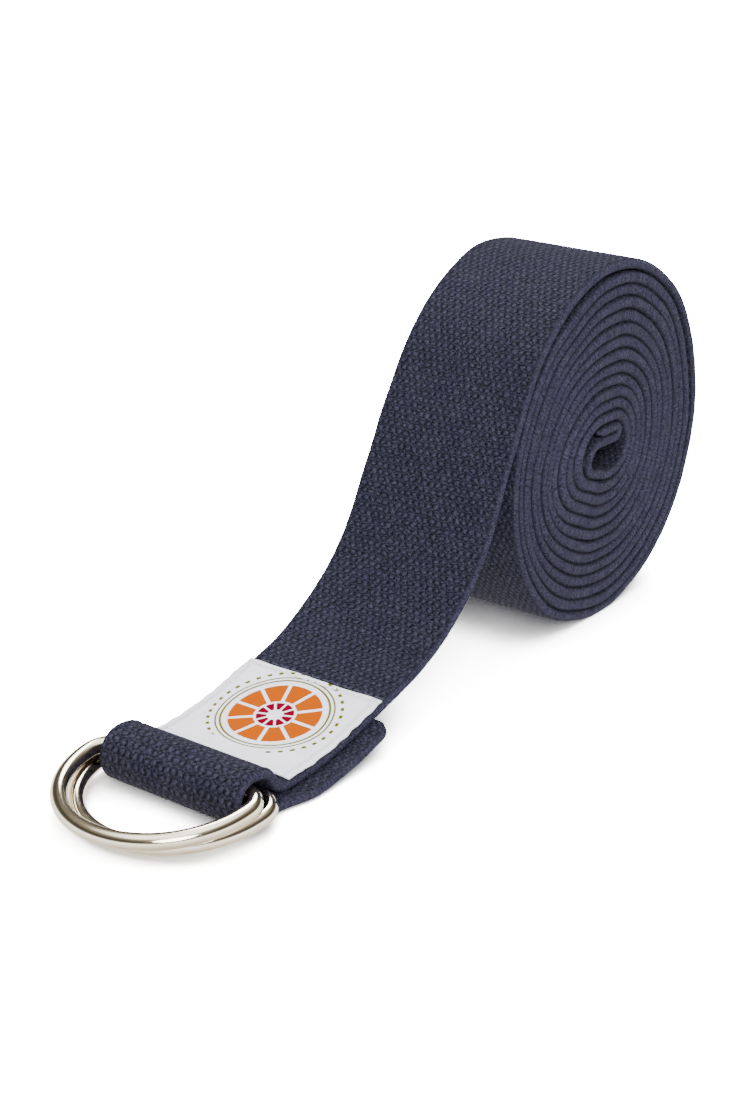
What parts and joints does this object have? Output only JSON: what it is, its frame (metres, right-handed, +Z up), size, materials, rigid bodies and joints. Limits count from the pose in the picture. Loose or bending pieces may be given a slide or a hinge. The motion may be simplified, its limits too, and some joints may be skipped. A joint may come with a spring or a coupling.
{
  "type": "stretching strap",
  "caption": "Cotton webbing stretching strap rolled on edge, its free tail ending in a sewn loop that holds stacked D-rings, with a stitched label.",
  "frame": {"origin": "on the resting surface, under the centre of the whole object's bounding box", "axes": "+X from the D-rings towards the roll, +Y across the width of the webbing, +Z up"},
  "size_m": [0.2134, 0.0472, 0.0914],
  "materials": {
    "webbing": "soft matt cotton webbing",
    "webbing_thread": "matt sewing thread",
    "ring_metal": "polished nickel plate",
    "label": "satin woven ribbon",
    "label_thread": "white sewing thread"
  },
  "bodies": {
    "strap": {"webbing": "webbing", "label": "label", "label_needle_thread": "label_thread", "label_bobbin_thread": "webbing_thread", "loop_needle_thread": "webbing_thread", "loop_bobbin_thread": "webbing_thread", "hem_needle_thread": "webbing_thread", "hem_bobbin_thread": "webbing_thread"},
    "lower_ring": {"lower_d_ring": "ring_metal"},
    "upper_ring": {"upper_d_ring": "ring_metal"}
  },
  "joints": [
    {"name": "lower_ring_swing", "type": "hinge", "parent": "strap", "child": "lower_ring", "pos_m": [-0.07328, 0, 0.0045], "axis": [0, 1, 0], "range_deg": [-130, 0]},
    {"name": "upper_ring_swing", "type": "hinge", "parent": "strap", "child": "upper_ring", "pos_m": [-0.07787, 0, 0.0077], "axis": [0, 1, 0], "range_deg": [0, 160]}
  ]
}
